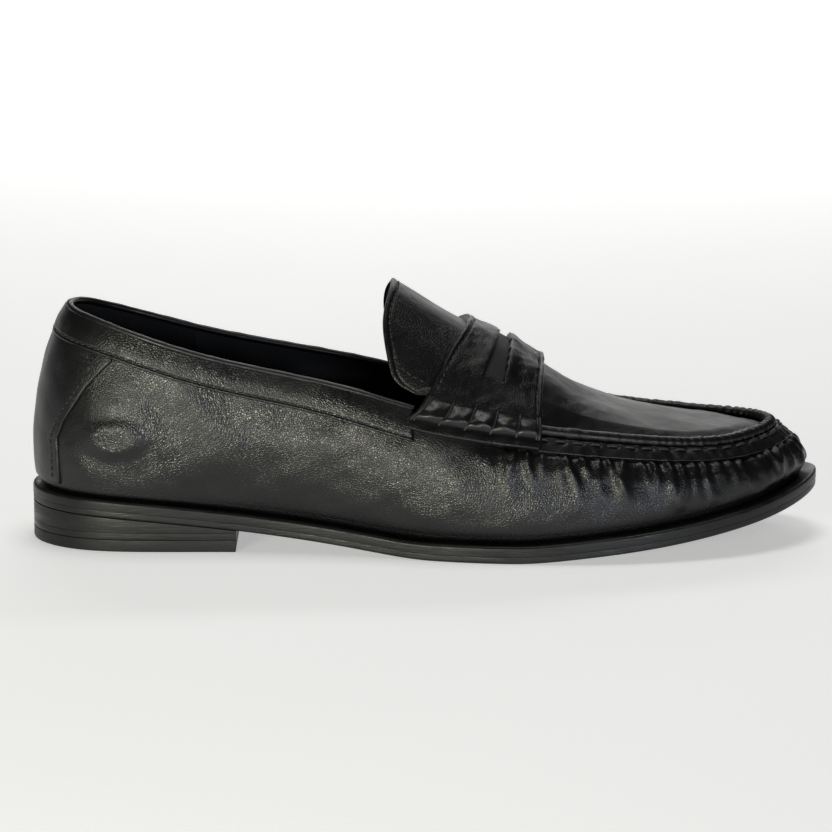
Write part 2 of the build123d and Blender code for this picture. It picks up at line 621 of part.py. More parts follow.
save("tongue", only(crown_slab(126, 162, -TONGUE, 0) & tongue_plan(0, 0.9)))
tongue_under = crown_slab(126, 162, -TONGUE - GLUE - LINING, -TONGUE - GLUE)
save("tongue_lining", only(tongue_under & tongue_plan(1, 1.2)))
y = np.array([-31.2, -29.4, -25, -14, 0, 14, 25, 29.4, 31.2])
x = np.array([140.5, 134.5, 132.4, 133.9, 135.2, 133.9, 132.4, 134.5, 140.5])
grid = np.stack([np.stack([x + k, y - 1.5, crown(x + k, y - 1.5)], -1) for k in (-0.3, 0, 0.3)], 1)
save("tongue_stitch", tube(offset(grid, -0.45)[:, 1], 0.28))
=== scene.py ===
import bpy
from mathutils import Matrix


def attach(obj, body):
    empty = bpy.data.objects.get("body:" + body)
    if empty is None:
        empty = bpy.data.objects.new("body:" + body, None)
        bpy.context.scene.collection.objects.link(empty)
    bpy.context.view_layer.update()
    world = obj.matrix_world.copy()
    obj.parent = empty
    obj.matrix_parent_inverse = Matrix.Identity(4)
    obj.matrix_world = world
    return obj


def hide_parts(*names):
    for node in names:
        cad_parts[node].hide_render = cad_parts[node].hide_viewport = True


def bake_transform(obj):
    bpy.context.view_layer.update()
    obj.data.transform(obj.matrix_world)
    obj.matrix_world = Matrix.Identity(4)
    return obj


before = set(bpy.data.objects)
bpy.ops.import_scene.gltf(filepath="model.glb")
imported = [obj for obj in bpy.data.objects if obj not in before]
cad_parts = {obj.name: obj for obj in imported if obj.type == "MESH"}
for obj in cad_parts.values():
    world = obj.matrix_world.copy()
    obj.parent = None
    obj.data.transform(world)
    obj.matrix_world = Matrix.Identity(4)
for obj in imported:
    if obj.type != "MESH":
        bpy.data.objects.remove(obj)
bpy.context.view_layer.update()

import math

import bpy
import numpy as np
from mathutils import Vector

rng = np.random.default_rng(7)
LENGTH, MIDDLE_Y = 290.0, -1.7
BASE = 6.55  # the upper's underside over the outsole's
BAND, ROLL, STRIP, MARGIN = 11.5, 2.15, 5.5, 12.0
RAIL, FOOT_DROP = 0.76, 8.5

# ---- The same curves as the part's: mm from the back of the heel -----------------------------------------

OUTER = (((0, 0), (14.2, 0, 86.3)), ((4, -16), (17.5, -12, 85.4)), ((18, -29), (26, -20.5, 83.2)),
         ((40, -33.5), (42, -27, 78.2)), ((68, -33.5), (66, -29.5, 71.2)), ((97, -35), (94, -31, 65.2)),
         ((128, -42), (122, -34.5, 59.2)), ((155, -50), (150, -38.5, 52)), ((182, -53.5), (180, -39.5, 47)),
         ((210, -53), (206, -37.5, 43.6)), ((237, -47.5), (230, -32.5, 40.6)),
         ((263, -35.5), (252, -23.5, 39)), ((281, -18), (266, -11, 39.8)), ((290, 5), (272.5, 5, 40.6)))
INNER = (((4, 15.5), (17.5, 12, 85.4)), ((18, 27.5), (26, 20.5, 82.4)), ((42, 31.5), (42, 26.5, 77.2)),
         ((70, 29.5), (66, 28.5, 70.8)), ((100, 29), (94, 29.5, 65.2)), ((131, 34.5), (123, 32, 59.2)),
         ((158, 43), (151, 35, 52.4)), ((186, 49.5), (181, 36.5, 47.8)), ((213, 50), (207, 36, 43.8)),
         ((240, 47), (232, 34, 40.9)), ((265, 39), (254, 29, 39.7)), ((283, 25.5), (267, 19.5, 40.2)))
WALL = ((2.4, 3, 18, 11.5, 18), (2.3, 3, 18, 10, 18), (2.2, 3, 18, 8, 18), (2.4, 3.5, 18, 6, 18),
        (2.8, 5, 17, 6, 17), (3.2, 6, 16, 6.5, 15), (3.3, 6, 15, 7.5, 13), (3.6, 5.5, 14, 9, 11),
        (3.8, 4.5, 14, 9, 9), (3.9, 4, 13, 8.5, 8), (4.2, 3.5, 11, 8, 6), (4.5, 3, 8, 7.5, 4),
        (4.8, 2.5, 6, 7, 2), (4.9, 2.5, 5, 7, 1.5))
SOLE_REAR = ((0, 13.8), (30, 12.4), (60, 9.7), (90, 6.2), (120, 2.5), (148, 0))
SOLE_FRONT = ((175, 0), (200, 1.8), (230, 5.2), (260, 10.0), (282, 15.0), (290, 17.8))
CREST = ((120, 102.5), (134, 94.3), (156, 81), (170, 74), (187, 64), (205, 53.1), (218, 48.2), (235, 44.4),
         (255, 41.8), (275, 40.4))
STRAP_REAR = ((0, 160), (0.33, 157.5), (0.6, 150.5), (0.76, 144.5), (0.88, 139.5), (0.96, 137.6), (1, 138.2))
STRAP_FRONT = ((0, 187.5), (0.4, 187), (0.76, 186.6), (0.96, 186.2), (1, 185.6))
STAY = ((0, 0.31, 0.41, 0.62, 0.8), (11.8, 11.2, 13.5, 22, 31.5))


def cubic(points, ends=(None, None)):
    x, y = np.array(points, float).T
    n, h = len(x), np.diff(x)
    a, b = np.zeros((n, n)), np.zeros(n)
    for i in range(1, n - 1):
        a[i, i - 1 : i + 2] = h[i - 1], 2 * (h[i - 1] + h[i]), h[i]
        b[i] = 6 * ((y[i + 1] - y[i]) / h[i] - (y[i] - y[i - 1]) / h[i - 1])
    a[0, 0] = a[-1, -1] = 1
    if ends[0] is not None:
        a[0, :2] = 2 * h[0], h[0]
        b[0] = 6 * ((y[1] - y[0]) / h[0] - ends[0])
    if ends[1] is not None:
        a[-1, -2:] = h[-1], 2 * h[-1]
        b[-1] = 6 * (ends[1] - (y[-1] - y[-2]) / h[-1])
    m = np.linalg.solve(a, b)

    def at(q):
        q = np.asarray(q, float)
        i = np.clip(np.searchsorted(x, q) - 1, 0, n - 2)
        left, right = x[i + 1] - q, q - x[i]
        curved = (m[i] * left**3 + m[i + 1] * right**3) / (6 * h[i])
        curved = curved + (y[i] / h[i] - m[i] * h[i] / 6) * left
        return curved + (y[i + 1] / h[i] - m[i + 1] * h[i] / 6) * right

    return at


def around(knots, values):
    values = np.array(values, float)
    x = np.concatenate([knots[-5:-1] - 1, knots[:-1], 1 + knots[:5]])
    y = np.concatenate([values[-4:], values, values[:5]])
    parts = [cubic(np.column_stack([x, y[:, k]])) for k in range(y.shape[1])]
    return lambda s: np.stack([part(np.mod(s, 1.0)) for part in parts], -1)


rows = list(OUTER) + list(reversed(INNER))
edge = np.array([row[0] for row in rows], float)
steps = np.linalg.norm(np.roll(edge, -1, 0) - edge, axis=1)
knots = np.concatenate([[0], np.cumsum(steps) / steps.sum()])
outline_at = around(knots, edge)
top_at = around(knots, [row[1] for row in rows])
wall_at = around(knots, WALL + tuple(reversed(WALL[1:-1])))
TOE = float(knots[len(OUTER) - 1])
sole_rear, sole_front = cubic(SOLE_REAR, (-0.02, 0)), cubic(SOLE_FRONT, (0, 0.42))
crest_at = cubic(CREST)
rails = [np.array([row[1] for row in side[4:]], float) for side in (OUTER, INNER)]
outer_y, outer_z = cubic(rails[0][:, :2]), cubic(rails[0][:, ::2])
inner_y, inner_z = cubic(rails[1][:, :2]), cubic(rails[1][:, ::2])
strap_rear, strap_front = cubic(STRAP_REAR), cubic(STRAP_FRONT)


def ease(x, start, end):
    k = np.clip((np.asarray(x, float) - start) / (end - start), 0, 1)
    return k * k * (3 - 2 * k)


def sole_bottom(x):
    x = np.clip(x, 0, LENGTH)
    return np.where(x < 148, sole_rear(x), np.where(x > 175, sole_front(x), 0.0))


def outward(s):
    d = outline_at(s + 1e-4) - outline_at(s - 1e-4)
    n = np.stack([d[..., 1], -d[..., 0]], -1)
    return n / np.linalg.norm(n, axis=-1, keepdims=True)


def wall_curve(s, t):
    s, t = np.broadcast_arrays(np.asarray(s, float), np.asarray(t, float))
    ledge, low_out, low_up, high_out, high_down = np.moveaxis(wall_at(s), -1, 0)
    flat0 = np.zeros(s.shape + (1,))
    out = np.concatenate([outward(s), flat0], -1)
    up = np.array([0, 0, 1.0])
    foot = np.concatenate([outline_at(s), flat0], -1) - out * ledge[..., None]
    foot[..., 2] = sole_bottom(foot[..., 0]) + BASE
    start = foot + up * 2.6
    top = top_at(s)
    c1 = start + out * low_out[..., None] + up * (low_up[..., None] - 2.6)
    c2 = top + out * high_out[..., None] - up * high_down[..., None]
    k = np.clip(t, 0, 1)[..., None]
    wall = (1 - k) ** 3 * start + 3 * (1 - k) ** 2 * k * c1 + 3 * (1 - k) * k**2 * c2 + k**3 * top
    bend = np.clip(-t / 0.3, 0, 1)[..., None] * np.pi / 2
    turn = start - out * 2.6 * (1 - np.cos(bend)) - up * 2.6 * np.sin(bend)
    flat = np.clip((-t - 0.3) / 0.7, 0, 1)[..., None] * MARGIN
    turn -= out * flat
    turn[..., 2] += sole_bottom(turn[..., 0]) - sole_bottom(foot[..., 0])
    return np.where(t[..., None] >= 0, wall, turn)


def runs(points, axis):
    """Distance along the grid's lines in that direction."""
    d = np.linalg.norm(np.diff(points, axis=axis), axis=-1)
    start = np.zeros_like(np.take(d, [0], axis=axis))
    return np.concatenate([start, np.cumsum(d, axis=axis)], axis=axis)


def drop_to_t(s, drop):
    """The wall height that lies drop mm below the top edge. s is one station per row."""
    s, drop = np.asarray(s, float), np.asarray(drop, float)
    t = np.linspace(1, 0, 80)
    line = wall_curve(s[..., None], t)
    run = np.cumsum(np.linalg.norm(np.diff(line, axis=-2), axis=-1), -1)
    run = np.concatenate([np.zeros(run.shape[:-1] + (1,)), run], -1)
    shape = np.broadcast_shapes(s.shape, drop.shape)
    run = np.broadcast_to(run, shape + (80,)).reshape(-1, 80)
    drop = np.broadcast_to(drop, shape).ravel()
    return np.array([np.interp(d, r, t) for d, r in zip(drop, run)]).reshape(shape)


def s_for_x(x, t, inner=False):
    x, t = np.broadcast_arrays(np.asarray(x, float), np.asarray(t, float))
    s = np.linspace(1, TOE, 300) if inner else np.linspace(0, TOE, 300)
    line = wall_curve(s, t[..., None])[..., 0]
    found = [np.interp(q, row, s) for q, row in zip(x.ravel(), line.reshape(-1, 300))]
    return np.array(found).reshape(x.shape)


def normals(points):
    n = np.cross(np.gradient(points, axis=0), np.gradient(points, axis=1))
    return n / np.maximum(np.linalg.norm(n, axis=-1, keepdims=True), 1e-9)


def offset(points, distance):
    return points + normals(points) * np.broadcast_to(distance, points.shape[:-1])[..., None]


def crown(x, y):
    low, high = outer_y(x), inner_y(x)
    half = np.maximum((high - low) / 2, 22)
    drop = np.maximum(crest_at(x) - (outer_z(x) + inner_z(x)) / 2, 0)
    return crest_at(x) - drop * (np.abs(y - (low + high) / 2) / half) ** 2.6


def strap_grid(u, v, rise):
    half = [0.14, 0.28, 0.42, 0.56, 0.7, 0.86, 0.93, 1]
    keys = np.array([-k for k in reversed(half)] + [0] + half)
    v = np.asarray(v, float)
    lines = np.zeros((len(keys), len(v), 3))
    for i, key in enumerate(keys):
        x = strap_rear(abs(key)) + (strap_front(abs(key)) - strap_rear(abs(key))) * v
        if abs(key) < RAIL:
            low, high = outer_y(x), inner_y(x)
            y = (low + high) / 2 + key / RAIL * 0.98 * (high - low) / 2
            lines[i] = np.stack([x, y, crown(x, y)], -1)
        else:
            s = s_for_x(x, 0.9, key > 0)
            lines[i] = wall_curve(s, drop_to_t(s, FOOT_DROP * (abs(key) - 0.79) / 0.21))
    parts = [[cubic(np.column_stack([keys, lines[:, j, k]]))(u) for k in range(3)] for j in range(len(v))]
    return offset(np.array(parts).transpose(2, 0, 1), -rise)


# ---- Smooth noise ----------------------------------------------------------------------------------------


def wave_noise(p, size, seed, count=14):
    """Smooth noise of about unit height over points p, with features of that size in mm."""
    r = np.random.default_rng(seed)
    total = np.zeros(p.shape[:-1])
    for _ in range(count):
        d = r.normal(size=3)
        d /= np.linalg.norm(d)
        total += np.sin(p @ d * (2 * np.pi / size) * r.uniform(0.6, 1.5) + r.uniform(0, 7))
    return total / math.sqrt(count / 2) * 0.7


def spaced(low, high, pitch, jitter, seed):
    r = np.random.default_rng(seed)
    at, out = low, []
    while at < high:
        out.append(at)
        at += pitch * (1 + jitter * r.uniform(-1, 1))
    return np.array(out)


# ---- Meshes ----------------------------------------------------------------------------------------------


def mesh(name, points, faces, material, body="shoe", replaces=(), slot="black_leather"):
    data = bpy.data.meshes.new(name)
    points = (np.asarray(points, float).reshape(-1, 3) - np.array([LENGTH / 2, MIDDLE_Y, 0])) / 1000
    faces = np.asarray(faces, np.int32)
    data.vertices.add(len(points))
    data.vertices.foreach_set("co", points.ravel())
    data.loops.add(faces.size)
    data.loops.foreach_set("vertex_index", faces.ravel())
    data.polygons.add(len(faces))
    data.polygons.foreach_set("loop_start", np.arange(0, faces.size, faces.shape[1]))
    data.update(calc_edges=True)
    data.validate()
    data.polygons.foreach_set("use_smooth", [True] * len(data.polygons))
    obj = bpy.data.objects.new(name, data)
    bpy.context.collection.objects.link(obj)
    data.materials.append(material)
    if body:
        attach(obj, body)
    if replaces:
        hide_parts(*replaces)
    return obj


def quads(nu, nv, wrap_u=False, wrap_v=False, base=0):
    i, j = np.meshgrid(np.arange(nu - (not wrap_u)), np.arange(nv - (not wrap_v)), indexing="ij")
    a, b = i * nv + j, (i + 1) % nu * nv + j
    c, d = (i + 1) % nu * nv + (j + 1) % nv, i * nv + (j + 1) % nv
    return np.stack([a, b, c, d], -1).reshape(-1, 4) + base


def skirted(surface, high, low, rounding, sign=1):
    """Outer skin at the offset high, rounded down near its edges, with a skirt to the depth low."""
    ru, rv = runs(surface, 0), runs(surface, 1)
    near = np.minimum(np.minimum(ru, ru[-1:] - ru), np.minimum(rv, rv[:, -1:] - rv))
    k = np.clip(near / rounding, 0, 1)
    n = normals(surface) * sign
    high = np.broadcast_to(high, surface.shape[:-1])
    low = np.broadcast_to(low, surface.shape[:-1])
    skin = high - np.minimum(rounding, high - low) * 0.8 * (1 - np.sqrt(1 - (1 - k) ** 2))
    top = surface + n * skin[..., None]
    under = surface + n * low[..., None]
    grid = np.zeros((surface.shape[0] + 2, surface.shape[1] + 2, 3))
    grid[1:-1, 1:-1] = top
    grid[0, 1:-1], grid[-1, 1:-1] = under[0], under[-1]
    grid[1:-1, 0], grid[1:-1, -1] = under[:, 0], under[:, -1]
    for corner in ((0, 0), (0, -1), (-1, 0), (-1, -1)):
        grid[corner] = under[corner]
    return grid


def edged(count, sharp=0.1):
    """Parameters from 0 to 1, closer together near both ends."""
    k = np.linspace(0, 1, count)
    return k - sharp / 2 * np.sin(2 * np.pi * k) / np.pi


def skin(name, surface, high, low, material, rounding=0.5, sign=1, **words):
    grid = skirted(surface, high, low, rounding, sign)
    return mesh(name, grid, quads(grid.shape[0], grid.shape[1]), material, **words)


def tube_points(path, radius, around_count=14, squash=None, closed=False):
    """Grid of points round a path. radius may change along it. squash gives the up direction of the rings,
    one for all points or one per point; it does not squash them.
    """
    path = np.asarray(path, float)
    d = np.gradient(path, axis=0)
    d /= np.linalg.norm(d, axis=-1, keepdims=True)
    up = np.broadcast_to(np.array([0, 0, 1.0]) if squash is None else squash, path.shape)
    side = np.cross(d, up)
    side /= np.linalg.norm(side, axis=-1, keepdims=True)
    up = np.cross(side, d)
    a = np.linspace(0, 2 * np.pi, around_count, endpoint=False)
    radius = np.broadcast_to(radius, (len(path), around_count))
    spokes = np.cos(a)[None, :, None] * side[:, None] + np.sin(a)[None, :, None] * up[:, None]
    return path[:, None] + radius[..., None] * spokes


def tube(name, path, radius, material, around_count=14, up=None, **words):
    grid = tube_points(path, radius, around_count, up)
    nu = len(grid)
    faces = quads(nu, around_count, wrap_v=True)
    points = np.concatenate([grid.reshape(-1, 3), grid[0].mean(0)[None], grid[-1].mean(0)[None]])
    ends = []
    tip = nu * around_count
    last = tip - around_count
    for j in range(around_count):
        k = (j + 1) % around_count
        ends.append([tip, j, k, k])
        ends.append([tip + 1, last + k, last + j, last + j])
    obj = mesh(name, points, faces, material, **words)
    return obj


def stitches(name, paths, ups, length, pitch, radius, material, sink=0.15, **words):
    """Separate stitches along each path: short threads whose ends dip into the leather."""
    points, faces, base = [], [], 0
    for path, up in zip(paths, ups):
        run = np.concatenate([[0], np.cumsum(np.linalg.norm(np.diff(path, axis=0), axis=1))])
        for start in np.arange(0.3, run[-1] - length, pitch):
            at = start + length * np.array([0, 0.06, 0.2, 0.4, 0.6, 0.8, 0.94, 1])
            p = np.stack([np.interp(at, run, path[:, k]) for k in range(3)], -1)
            n = np.stack([np.interp(at, run, up[:, k]) for k in range(3)], -1)
            lift = np.array([-1.8, -0.6, 0.25, 0.5, 0.5, 0.25, -0.6, -1.8]) * radius - sink
            p = p + n * lift[:, None]
            grid = tube_points(p, radius * np.array([0.6, 0.85, 1, 1, 1, 1, 0.85, 0.6])[:, None], 8, n)
            faces.append(quads(8, 8, wrap_v=True, base=base))
            points.append(grid.reshape(-1, 3))
            base += 64
    return mesh(name, np.concatenate(points), np.concatenate(faces), material, **words)


# ---- Materials -------------------------------------------------------------------------------------------


def shader(name, color, roughness, metallic=0.0, coat=0.0):
    m = bpy.data.materials.new(name)
    m.use_nodes = True
    nodes, links = m.node_tree.nodes, m.node_tree.links
    b = nodes["Principled BSDF"]
    b.inputs["Base Color"].default_value = (*color, 1)
    b.inputs["Roughness"].default_value = roughness
    b.inputs["Metallic"].default_value = metallic
    b.inputs["Coat Weight"].default_value = coat
    b.inputs["Coat Roughness"].default_value = 0.28
    place = nodes.new("ShaderNodeTexCoord")
    return m, nodes, links, b, place


def scaled(nodes, links, place, scale):
    s = nodes.new("ShaderNodeMapping")
    s.inputs["Scale"].default_value = scale
    links.new(place.outputs["Object"], s.inputs["Vector"])
    return s.outputs["Vector"]


def noise(nodes, links, vector, scale, detail=3.0, rough=0.55, distortion=0.0):
    n = nodes.new("ShaderNodeTexNoise")
    n.inputs["Scale"].default_value = scale
    n.inputs["Detail"].default_value = detail
    n.inputs["Roughness"].default_value = rough
    n.inputs["Distortion"].default_value = distortion
    links.new(vector, n.inputs["Vector"])
    return n.outputs["Fac"]


def cells(nodes, links, vector, scale, feature="DISTANCE_TO_EDGE"):
    n = nodes.new("ShaderNodeTexVoronoi")
    n.feature = feature
    n.inputs["Scale"].default_value = scale
    links.new(vector, n.inputs["Vector"])
    return n.outputs["Distance"]


def ramp(nodes, links, fac, stops):
    r = nodes.new("ShaderNodeValToRGB")
    while len(r.color_ramp.elements) < len(stops):
        r.color_ramp.elements.new(0.5)
    for e, (at, value) in zip(r.color_ramp.elements, stops):
        e.position = at
        e.color = (*value, 1) if isinstance(value, tuple) else (value, value, value, 1)
    links.new(fac, r.inputs["Fac"])
    return r.outputs["Color"]


def shade(color, factor):
    return tuple(factor * c for c in color)


def bump(nodes, links, b, heights):
    """Stacks bumps: heights is a list of (output, distance in metres, strength)."""
    last = None
    for height, distance, strength in heights:
        n = nodes.new("ShaderNodeBump")
        n.inputs["Distance"].default_value = distance
        n.inputs["Strength"].default_value = strength
        links.new(height, n.inputs["Height"])
        if last is not None:
            links.new(last, n.inputs["Normal"])
        last = n.outputs["Normal"]
    links.new(last, b.inputs["Normal"])


def leather(name, color=(0.0022, 0.0022, 0.0024), roughness=0.31, grain=1.0, crease=1.0, gloss=0.45):
    m, nodes, links, b, place = shader(name, color, roughness)
    at = place.outputs["Object"]
    pebble = cells(nodes, links, at, 1250.0)
    pebble = ramp(nodes, links, pebble, ((0.0, 0.0), (0.22, 0.85), (0.6, 1.0)))
    fine = noise(nodes, links, at, 2600.0, 2.0)
    crinkle = noise(nodes, links, scaled(nodes, links, place, (1.0, 1.0, 0.45)), 620.0, 5.0, 0.6, 0.6)
    wide = noise(nodes, links, at, 70.0, 4.0, 0.6, 0.4)
    patch = noise(nodes, links, at, 38.0, 3.0)
    rough = ramp(nodes, links, patch, ((0.3, roughness - 0.05), (0.7, roughness + 0.08)))
    links.new(rough, b.inputs["Roughness"])
    tint = ramp(nodes, links, fine, ((0.35, shade(color, 0.8)), (0.65, shade(color, 1.25))))
    links.new(tint, b.inputs["Base Color"])
    relief = (pebble, 0.000055 * grain, 0.9), (crinkle, 0.00007 * crease, 0.9), (wide, 0.00022 * crease, 0.8)
    bump(nodes, links, b, relief)
    b.inputs["Specular IOR Level"].default_value = gloss
    return m


def thread_material():
    m, nodes, links, b, place = shader("waxed_thread", (0.011, 0.011, 0.0115), 0.48)
    w = nodes.new("ShaderNodeTexWave")
    w.inputs["Scale"].default_value = 700.0
    w.inputs["Distortion"].default_value = 2.0
    links.new(place.outputs["Object"], w.inputs["Vector"])
    fuzz = noise(nodes, links, place.outputs["Object"], 3000.0)
    bump(nodes, links, b, ((w.outputs["Fac"], 0.00008, 0.9), (fuzz, 0.00004, 0.7)))
    return m


def sole_material(name, color, roughness, line=0.6):
    """Painted and burnished edge: fine lines along the shoe, scuffs and a soft gloss."""
    m, nodes, links, b, place = shader(name, color, roughness)
    lines = noise(nodes, links, scaled(nodes, links, place, (0.05, 0.05, 1.6)), 900.0, 4.0, 0.7)
    scuff = noise(nodes, links, scaled(nodes, links, place, (0.35, 0.35, 2.0)), 160.0, 5.0, 0.65, 0.5)
    fine = noise(nodes, links, place.outputs["Object"], 2400.0, 3.0)
    rough = ramp(nodes, links, scuff, ((0.35, roughness - 0.07), (0.7, roughness + 0.14)))
    links.new(rough, b.inputs["Roughness"])
    tint = ramp(nodes, links, scuff, ((0.3, shade(color, 0.75)), (0.75, shade(color, 1.6))))
    links.new(tint, b.inputs["Base Color"])
    bump(nodes, links, b, ((lines, 0.00012, line), (scuff, 0.00025, 0.6), (fine, 0.00003, 0.5)))
    b.inputs["Specular IOR Level"].default_value = 0.32
    return m


def plain(name, color, roughness, scale, depth, metallic=0.0, spread=0.3):
    m, nodes, links, b, place = shader(name, color, roughness, metallic)
    n = noise(nodes, links, place.outputs["Object"], scale, 5.0, 0.6)
    tint = ramp(nodes, links, n, ((0.3, shade(color, 1 - spread)), (0.7, shade(color, 1 + spread))))
    links.new(tint, b.inputs["Base Color"])
    bump(nodes, links, b, ((n, depth, 0.8),))
    return m


WALL_LEATHER = leather("wall_leather", roughness=0.29)
APRON_LEATHER = leather("apron_leather", roughness=0.34, crease=0.45, gloss=0.3)
STRAP_LEATHER = leather("strap_leather", roughness=0.32, grain=1.2, crease=0.7, gloss=0.35)
EDGE_LEATHER = leather("edge_leather", roughness=0.34, grain=0.5, crease=0.5)
LINING = leather("lining_leather", (0.006, 0.006, 0.006), 0.6, 0.8, 0.5)
SUEDE = plain("grip_suede", (0.008, 0.008, 0.0078), 0.95, 1500.0, 0.00035)
THREAD = thread_material()
SOLE_EDGE = sole_material("sole_edge", (0.006, 0.006, 0.006), 0.37)
HEEL_STACK = sole_material("heel_stack", (0.006, 0.006, 0.0057), 0.4, 0.9)
HEEL_RUBBER = sole_material("heel_rubber", (0.006, 0.006, 0.006), 0.48, 0.3)
INSIDE = {
    "heel_counter": plain("counter_board", (0.42, 0.36, 0.27), 0.8, 900.0, 0.0001),
    "toe_puff": plain("puff_board", (0.45, 0.42, 0.36), 0.8, 900.0, 0.0001),
    "shank": plain("shank_steel", (0.5, 0.5, 0.5), 0.35, 700.0, 0.00003, 1.0),
    "heel_nails": plain("nail_steel", (0.45, 0.44, 0.42), 0.4, 900.0, 0.00003, 1.0),
    "bottom_filler": plain("cork", (0.33, 0.2, 0.1), 0.85, 500.0, 0.0002, 0.0, 0.6),
    "insole_board": plain("insole_board", (0.4, 0.28, 0.16), 0.8, 1100.0, 0.0001),
    "strap_backing": LINING,
    "apron_lining": LINING,
}
for node, material in INSIDE.items():
    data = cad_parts[node]
    for entry in data.material_slots:
        entry.material = material

# ---- Upper: the wall -------------------------------------------------------------------------------------

FINE = 1.0
STRAP_OUT, STRAP_IN = float(s_for_x(186.6, 1.0)), float(s_for_x(186.6, 1.0, True))


def top_drop(s):
    return 1.3 + 1.5 * ease(top_at(s)[..., 0], 176, 187)


def wall_surface(s, t):
    """The wall, with the leather's own unevenness and the gathers below the stitched strip."""
    p = wall_curve(s, t)
    n = normals(p)
    top = top_at(np.broadcast_to(s, p.shape[:2]))
    lift = 0.3 * wave_noise(p, 24, 3) + 0.075 * wave_noise(p, 10, 4)
    x, z = p[..., 0], p[..., 2]
    near = p[..., 1] < 0
    # Heel side: a rounded bump over the counter with a flat middle, and a slanting dimple in front of it.
    r = np.hypot((x - 32) / 11, (z - 41.5) / 6.6)
    lift += np.where(near, 1.5 * np.exp(-(r**4)) - 0.35 * np.exp(-((r / 0.55) ** 4)), 0)
    across, along = (x - 48.5) * 0.82 + (z - 53) * 0.57, -(x - 48.5) * 0.57 + (z - 53) * 0.82
    lift -= np.where(near, 1.0 * np.exp(-((across / 4.8) ** 2) - (along / 11) ** 2), 0)
    lift += 0.45 * np.exp(-(((z - 41) / 5) ** 2) - ((x - 102) / 22) ** 2)
    # Gathers.
    strip = ROLL + 0.95 + STRIP
    down = runs(p, 1)
    down = down[:, -1:] - down + top_drop(np.broadcast_to(s, p.shape[:2])[:, -1:]) - strip
    line = runs(top_at(np.asarray(s)[:, 0])[:, None], 0)[:, 0][:, None]
    xs = top[..., 0]
    active = ease(xs, 160, 184)
    for k, at in enumerate(GATHERS):
        width, long, high, lean, twist = GATHER_SHAPES[k]
        middle = at + lean * np.maximum(down, 0) + 0.5 * np.sin(np.maximum(down, 0) / 3.0 + twist)
        w = width * (1 + 0.07 * np.maximum(down, 0))
        fade = ease(down, -1.5, 1.0) * (1 - ease(down, long * 0.25, long))
        lift += active * high * fade * np.exp(-np.abs((line - middle) / w) ** 1.7)
    pucker = ease(down, -2, 1) * (1 - ease(down, 5, 15))
    lift += active * 0.16 * pucker * wave_noise(p * np.array([1, 1, 0.35]), 3.2, 9, 20)
    lift -= active * 0.75 * np.exp(-(((down - 0.2) / 1.3) ** 2))
    lift += active * 0.5 * np.exp(-(((down - 6) / 5.0) ** 2))
    flat = ease(np.broadcast_to(t, p.shape[:2]), 0.03, 0.2)
    return p + n * (lift * flat)[..., None]


s_all = np.linspace(0.0004, 0.9996, int(880 * FINE))[:, None]
whole = runs(top_at(s_all[:, 0])[:, None], 0)[:, 0]
first = float(np.interp(s_for_x(158, 1.0), s_all[:, 0], whole))
last = float(np.interp(s_for_x(158, 1.0, True), s_all[:, 0], whole))
GATHERS = spaced(first, last, 4.6, 0.28, 21)
RANGES = (0.8, 1.5), (11, 24), (0.9, 2.1), (-0.25, 0.25), (0, 6)  # width, length, height, lean, twist
GATHER_SHAPES = [[rng.uniform(*limits) for limits in RANGES] for _ in GATHERS]
high_t = drop_to_t(s_all, top_drop(s_all))
upper_t = high_t * edged(int(112 * FINE), 0.4)[None, :]
low_t = np.broadcast_to(np.array([-0.5, -0.3, -0.22, -0.14, -0.07]), (len(s_all), 5))
t_all = np.concatenate([low_t, upper_t], 1)
wall = wall_surface(s_all, t_all)
skin("wall", wall, 0.0, -1.1, WALL_LEATHER, 0.8, replaces=["vamp"])


def wall_at_drop(s, drop):
    return wall_curve(s, drop_to_t(s, drop))


# ---- Backstay, collar band and bead ----------------------------------------------------------------------


def around_heel(front, t, count):
    first, last = s_for_x(front, t, True) - 1, s_for_x(front, t)
    return first + (last - first) * edged(count, 0.6)[:, None]


t = 0.012 + (float(drop_to_t(0.0, BAND - 1.0)) - 0.012) * np.linspace(0, 1, int(110 * FINE))[None, :]
s = around_heel(np.interp(t, *STAY), t, int(150 * FINE))
p = wall_curve(s, np.minimum(t, drop_to_t(s, BAND - 1.0)))
skin("backstay", p, 1.05 + 0.12 * wave_noise(p, 12, 31), 0.0, WALL_LEATHER, 0.8, replaces=["backstay"])
ends = float(s_for_x(140.5, 0.95)), float(s_for_x(140.5, 0.95, True))
s = np.linspace(ends[1] - 1, ends[0], int(620 * FINE))[:, None]
tall = BAND + 1.2 * ease(top_at(s)[..., 0], 90, 137)
share = 1 - edged(int(44 * FINE), 0.5)[None, :]
p = wall_at_drop(s, 0.4 + (tall - 0.4) * share)
down = tall * share
stitched = np.exp(-(((down - (tall - 1.6)) / 0.5) ** 2))
padding = 0.22 * np.exp(-(((down - tall * 0.5) / 3.5) ** 2))
pull = 1.32 + 0.06 * wave_noise(p, 14, 41) - 0.28 * stitched + padding
folds = 0.035 * wave_noise(p * np.array([1.6, 1.6, 0.2]), 7, 42) * ease(down, 2, 5)
skin("collar_band", p, pull + folds, 0.0, WALL_LEATHER, 0.7, replaces=["collar_band"])
s = np.linspace(ends[1] - 1, ends[0], int(420 * FINE))
pair = np.stack([wall_curve(s, 0.98), wall_curve(s, 1.0)], 1)
path = offset(pair, -0.25)[:, 1]
radius = 1.25 + 0.06 * wave_noise(path, 8, 43)[:, None]
tube("collar_bead", path, radius, EDGE_LEATHER, 18, replaces=["collar_bead"])
s = np.linspace(ends[1] - 1 + 0.002, ends[0] - 0.002, 800)
tall = BAND + 1.2 * ease(top_at(s)[..., 0], 90, 137)
